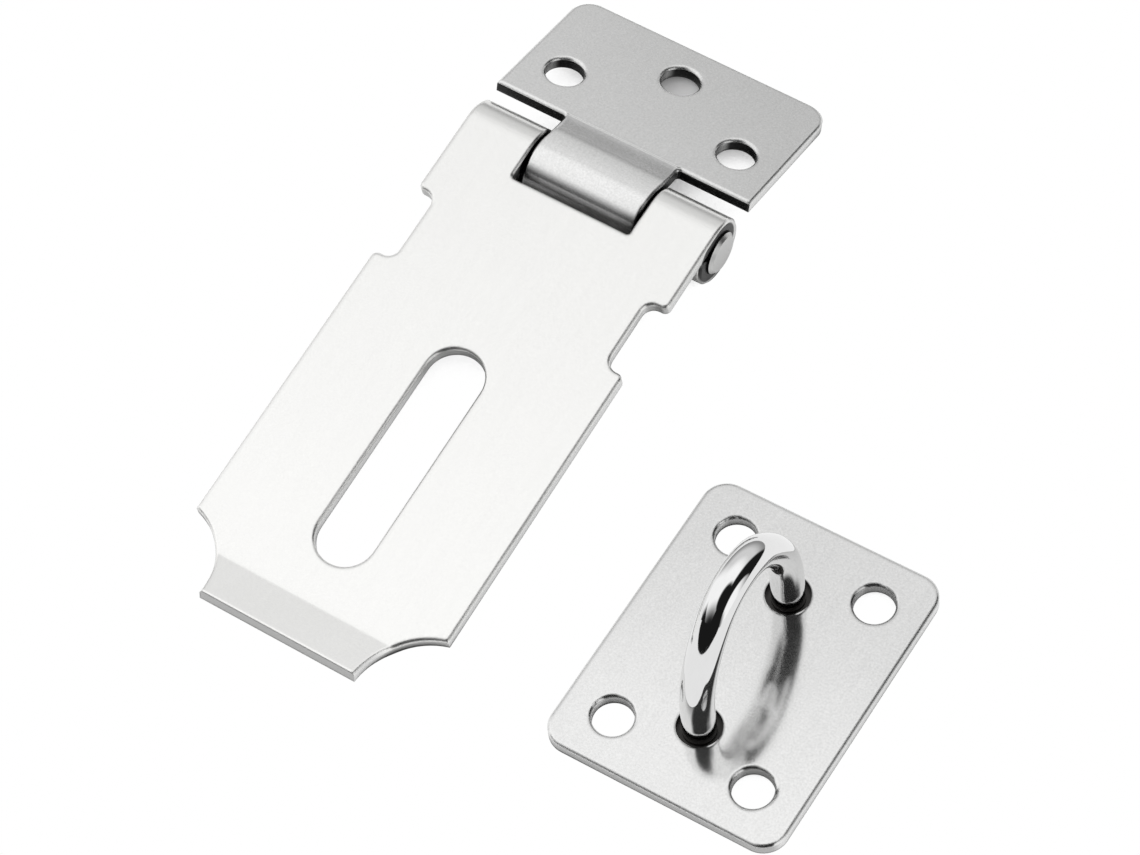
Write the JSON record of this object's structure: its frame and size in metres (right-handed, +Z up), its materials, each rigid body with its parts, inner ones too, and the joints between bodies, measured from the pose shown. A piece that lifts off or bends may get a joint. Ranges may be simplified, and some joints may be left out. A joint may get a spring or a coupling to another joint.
{
  "type": "cabinet latch",
  "caption": "Hinged hasp of stamped stainless sheet with a slotted strap, finger lip and screw leaf, laid open beside its plate with a bent-bar padlock staple.",
  "frame": {"origin": "on the table, under the middle of the bounding box of the hasp and its staple plate", "axes": "+X along the hinge pin from the hasp towards the staple plate, +Y from the strap's tip towards the screw leaf, +Z up from the table"},
  "size_m": [0.1054, 0.1234, 0.0299],
  "materials": {
    "sheet_steel": "satin stainless sheet",
    "pin_steel": "turned stainless rod",
    "polished_bar": "mirror-polished stainless bar"
  },
  "bodies": {
    "leaf_and_staple": {"fixed_leaf": "sheet_steel", "hinge_pin": "pin_steel", "staple_plate": "sheet_steel", "staple": "polished_bar"},
    "strap": {"strap": "sheet_steel"}
  },
  "joints": [
    {"name": "strap_hinge", "type": "hinge", "parent": "leaf_and_staple", "child": "strap", "pos_m": [-0.02918, 0.02801, 0.00565], "axis": [1, 0, 0], "range_deg": [-21.5, 158.4]}
  ]
}
